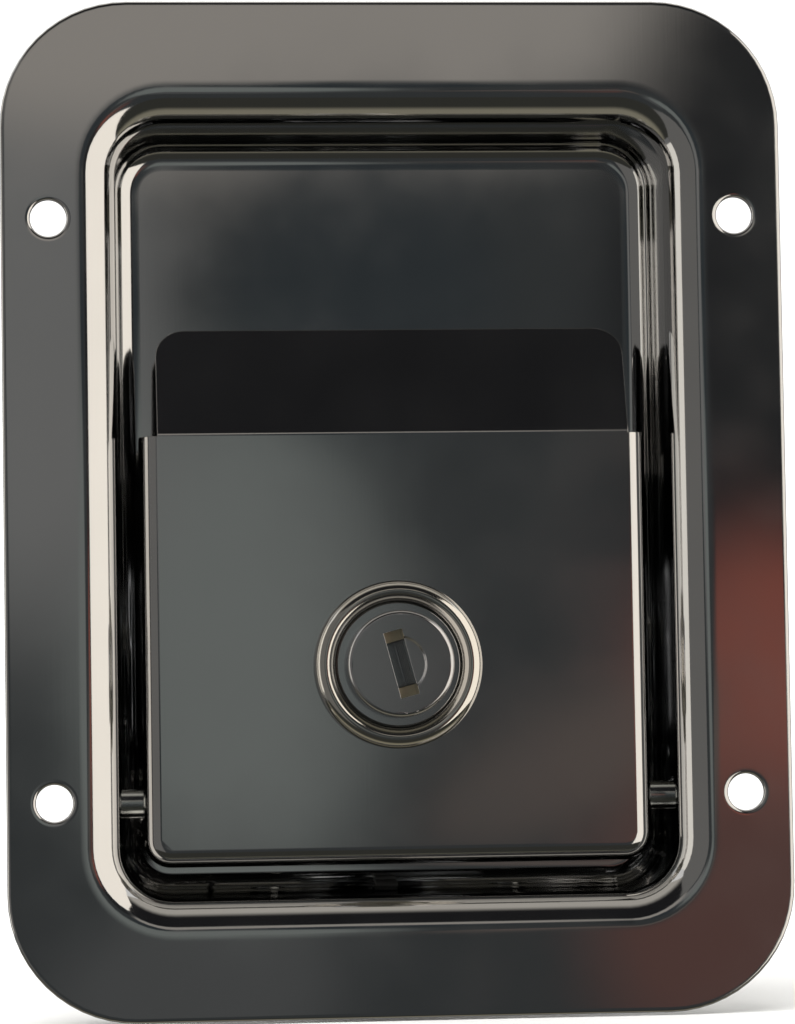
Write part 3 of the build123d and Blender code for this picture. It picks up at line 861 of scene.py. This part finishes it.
@dataclass(frozen=True)
class Card:
    """Card beside the camera that only shows in the polished metal."""

    name: str
    centre: tuple[float, float, float]
    size: tuple[float, float]
    colour: tuple[float, float, float]
    tilt: tuple[float, float, float] = (90.0, 0.0, 0.0)
    glows: tuple[Glow, ...] = ()

    FULL_WITHIN = 0.5           # part of a glow's reach in which it has its full colour

    def build(self) -> bpy.types.Object:
        """Makes the card and its emission.

        Returns:
            The card's object.
        """
        mesh = bpy.data.meshes.new(self.name)
        bm = bmesh.new()
        bmesh.ops.create_grid(bm, x_segments=1, y_segments=1, size=0.5)
        bmesh.ops.scale(bm, vec=(self.size[0] * MM, self.size[1] * MM, 1), verts=bm.verts)
        bm.to_mesh(mesh)
        bm.free()
        obj = bpy.data.objects.new(self.name, mesh)
        bpy.context.scene.collection.objects.link(obj)
        obj.location = Vector(self.centre) * MM
        obj.rotation_euler = [math.radians(angle) for angle in self.tilt]
        mesh.materials.append(self._paint())
        obj.visible_camera = False
        obj.visible_diffuse = False
        obj.visible_shadow = False
        return obj

    def _paint(self) -> bpy.types.Material:
        """Emission in the card's colour, with its glows laid over it."""
        made = bpy.data.materials.new(f"{self.name}_paint")
        made.use_nodes = True
        tree = made.node_tree
        tree.nodes.clear()
        out = tree.nodes.new("ShaderNodeOutputMaterial")
        light = tree.nodes.new("ShaderNodeEmission")
        light.inputs["Color"].default_value = (*self.colour, 1)
        tree.links.new(light.outputs["Emission"], out.inputs["Surface"])
        place = tree.nodes.new("ShaderNodeTexCoord").outputs["Object"]
        below = None
        for glow in self.glows:
            mapping = tree.nodes.new("ShaderNodeMapping")
            mapping.vector_type = "TEXTURE"
            mapping.inputs["Location"].default_value = (
                glow.centre[0] * MM, glow.centre[1] * MM, 0
            )
            mapping.inputs["Rotation"].default_value = (0, 0, math.radians(glow.turn))
            mapping.inputs["Scale"].default_value = (glow.reach[0] * MM, glow.reach[1] * MM, 1)
            tree.links.new(place, mapping.inputs["Vector"])
            ball = tree.nodes.new("ShaderNodeTexGradient")
            ball.gradient_type = "SPHERICAL"
            tree.links.new(mapping.outputs["Vector"], ball.inputs["Vector"])
            soft = tree.nodes.new("ShaderNodeMapRange")
            soft.interpolation_type = "SMOOTHSTEP"
            soft.inputs["From Max"].default_value = 1 - self.FULL_WITHIN
            tree.links.new(ball.outputs["Fac"], soft.inputs["Value"])
            layer = tree.nodes.new("ShaderNodeMix")
            layer.data_type = "RGBA"
            tree.links.new(soft.outputs["Result"], layer.inputs["Factor"])
            if below is None:
                layer.inputs["A"].default_value = (*self.colour, 1)
            else:
                tree.links.new(below, layer.inputs["A"])
            layer.inputs["B"].default_value = (*glow.colour, 1)
            below = layer.outputs["Result"]
        if below is not None:
            tree.links.new(below, light.inputs["Color"])
        return made


@dataclass
class Studio:
    """Pale floor and backdrop, soft light, reflection cards and the camera."""

    eye: tuple[float, float, float] = (-47.42, -547.48, -33.64)
    turn: tuple[float, float, float] = (93.4213, 0.9272, -4.8927)
    lens: float = 140.6
    sensor: float = 36.0
    near_clip: float = 0.01
    floor_gap: float = 0.4
    sweep_depth: float = 900.0
    sweep_width: float = 4000.0
    sweep_bend: float = 300.0
    sky_bands: tuple[tuple[float, tuple[float, float, float]], ...] = (
        (0.46, (0.20, 0.20, 0.20)),
        (0.54, (0.40, 0.40, 0.40)),
        (0.72, (0.75, 0.74, 0.72)),
    )
    sky_foot: tuple[float, float, float] = (0.16, 0.155, 0.15)
    sky_top: tuple[float, float, float] = (1.0, 0.98, 0.95)
    lamp_from: tuple[float, float, float] = (-0.4, -0.9, 1.1)
    lamp_power: float = 3.0
    lamp_spread: float = 50.0
    paper: tuple[float, float, float] = (0.85, 0.85, 0.84)
    paper_roughness: float = 0.9

    def build(self) -> None:
        """Sets the whole studio up round the latch."""
        self._camera()
        self._light()
        self._sweep()
        for card in self.cards():
            card.build()

    @staticmethod
    def cards() -> tuple[Card, ...]:
        """Cards that the polished faces reflect."""
        return (
            Card(
                "front_card", (40, -600, -30), (350, 540), (0.044, 0.048, 0.049),
                glows=(
                    Glow((-37, 30), (60, 108), (0.185, 0.20, 0.19)),
                    Glow((-100, 130), (60, 130), (0.19, 0.19, 0.185)),
                    Glow((-25, 218), (190, 62), (0.35, 0.325, 0.295)),
                    Glow((5, 135), (55, 62), (0.034, 0.041, 0.045)),
                    Glow((125, 130), (62, 150), (0.022, 0.023, 0.024)),
                    Glow((118, 8), (42, 66), (0.25, 0.082, 0.062)),
                    Glow((112, -55), (60, 60), (0.115, 0.062, 0.054)),
                    Glow((63, -8), (62, 22), (0.115, 0.096, 0.086), 28.0),
                    Glow((-50, -75), (60, 40), (0.085, 0.088, 0.088), 20.0),
                ),
            ),
            Card(
                "left_card", (-370, -425, 50), (590, 700), (0.165, 0.16, 0.152),
                (90, 0, -36.7),
            ),
            Card(
                "left_window", (-600, -75, 60), (350, 600), (1.0, 0.95, 0.86), (90, 0, 90),
            ),
            Card(
                "right_window", (410, -300, 60), (710, 660), (1.34, 1.24, 1.10),
                (90, 0, 57.7),
            ),
            Card(
                "upper_card", (0, -310, 465), (1100, 778), (0.50, 0.47, 0.42), (37.1, 0, 0),
                glows=(Glow((30, -230), (900, 410), (0.014, 0.014, 0.015)),),
            ),
            Card(
                "lower_card", (0, -280, -300), (1100, 640), (0.040, 0.040, 0.034), (0, 0, 0),
                glows=(Glow((0, 330), (900, 260), (0.26, 0.24, 0.18)),),
            ),
        )

    def _camera(self) -> None:
        """Camera in front of the latch, a little left of it and below its middle."""
        data = bpy.data.cameras.new("camera")
        data.lens = self.lens
        data.sensor_width = self.sensor
        data.sensor_fit = "AUTO"
        data.clip_start = self.near_clip
        camera = bpy.data.objects.new("camera", data)
        camera.location = Vector(self.eye) * MM
        camera.rotation_euler = [math.radians(angle) for angle in self.turn]
        bpy.context.scene.collection.objects.link(camera)
        bpy.context.scene.camera = camera

    def _light(self) -> None:
        """Surroundings that brighten upwards, and a wide soft lamp."""
        scene = bpy.context.scene
        scene.view_settings.view_transform = "Standard"
        world = bpy.data.worlds.new("surroundings")
        world.use_nodes = True
        tree = world.node_tree
        sky = tree.nodes["Background"]
        place = tree.nodes.new("ShaderNodeTexCoord").outputs["Generated"]
        split = tree.nodes.new("ShaderNodeSeparateXYZ")
        tree.links.new(place, split.inputs["Vector"])
        ramp = tree.nodes.new("ShaderNodeValToRGB")
        height = tree.nodes.new("ShaderNodeMapRange")
        height.inputs["From Min"].default_value = -1.0
        tree.links.new(split.outputs["Z"], height.inputs["Value"])
        tree.links.new(height.outputs["Result"], ramp.inputs["Fac"])
        low, high = ramp.color_ramp.elements
        low.color = (*self.sky_foot, 1)
        high.color = (*self.sky_top, 1)
        for position, colour in self.sky_bands:
            band = ramp.color_ramp.elements.new(position)
            band.color = (*colour, 1)
        tree.links.new(ramp.outputs["Color"], sky.inputs["Color"])
        scene.world = world
        data = bpy.data.lights.new("soft_lamp", "SUN")
        data.energy = self.lamp_power
        data.angle = math.radians(self.lamp_spread)
        lamp = bpy.data.objects.new("soft_lamp", data)
        lamp.location = self.lamp_from
        lamp.rotation_euler = (-lamp.location).to_track_quat("-Z", "Y").to_euler()
        lamp.visible_glossy = False
        scene.collection.objects.link(lamp)

    def _sweep(self) -> None:
        """Pale floor that curves up into a backdrop."""
        pan = Extent.of("pan")
        floor = Form()
        level = pan.low.z - self.floor_gap
        left = -self.sweep_width / 2
        back = self.sweep_depth
        line = Pen(floor, (left, -2 * back, level))
        line.line((left, back, level))
        line.arc((0, back, level + self.sweep_bend), (1, 0, 0), 90, steps=16)
        line.line((left, back + self.sweep_bend, 3 * back))
        swept = bmesh.ops.extrude_edge_only(floor.bm, edges=line.edges)
        moved = [item for item in swept["geom"] if isinstance(item, BMVert)]
        bmesh.ops.translate(floor.bm, verts=moved, vec=(self.sweep_width, 0, 0))
        bmesh.ops.scale(floor.bm, vec=(MM, MM, MM), verts=list(floor.bm.verts))
        mesh = bpy.data.meshes.new("sweep")
        for face in floor.bm.faces:
            face.smooth = True
        floor.bm.to_mesh(mesh)
        floor.bm.free()
        obj = bpy.data.objects.new("sweep", mesh)
        bpy.context.scene.collection.objects.link(obj)
        paper = bpy.data.materials.new("paper")
        paper.use_nodes = True
        shader = paper.node_tree.nodes["Principled BSDF"]
        shader.inputs["Base Color"].default_value = (*self.paper, 1)
        shader.inputs["Roughness"].default_value = self.paper_roughness
        mesh.materials.append(paper)
        obj.visible_glossy = False


def main() -> None:
    """Builds the latch and the studio round it."""
    logging.basicConfig(level=logging.INFO, format="%(message)s")
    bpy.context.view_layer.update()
    bolt = Place("bolt")
    bolt.refine("bolt", "slam_bolt", Finish.BOLT_STEEL, rim=0.25)
    dish, paddle, spring, lock = Dish(), Paddle(), TorsionSpring(), KeyLock()
    for part in (dish, paddle, spring, lock):
        part.build()
    places = (
        dish.place, paddle.place, spring.fixed, spring.swinging, lock.place, lock.turning, bolt
    )
    for place in places:
        for name in place.made:
            log.info("%s rides on %s", name, place.body)
    Studio().build()


if __name__ == "__main__":
    main()
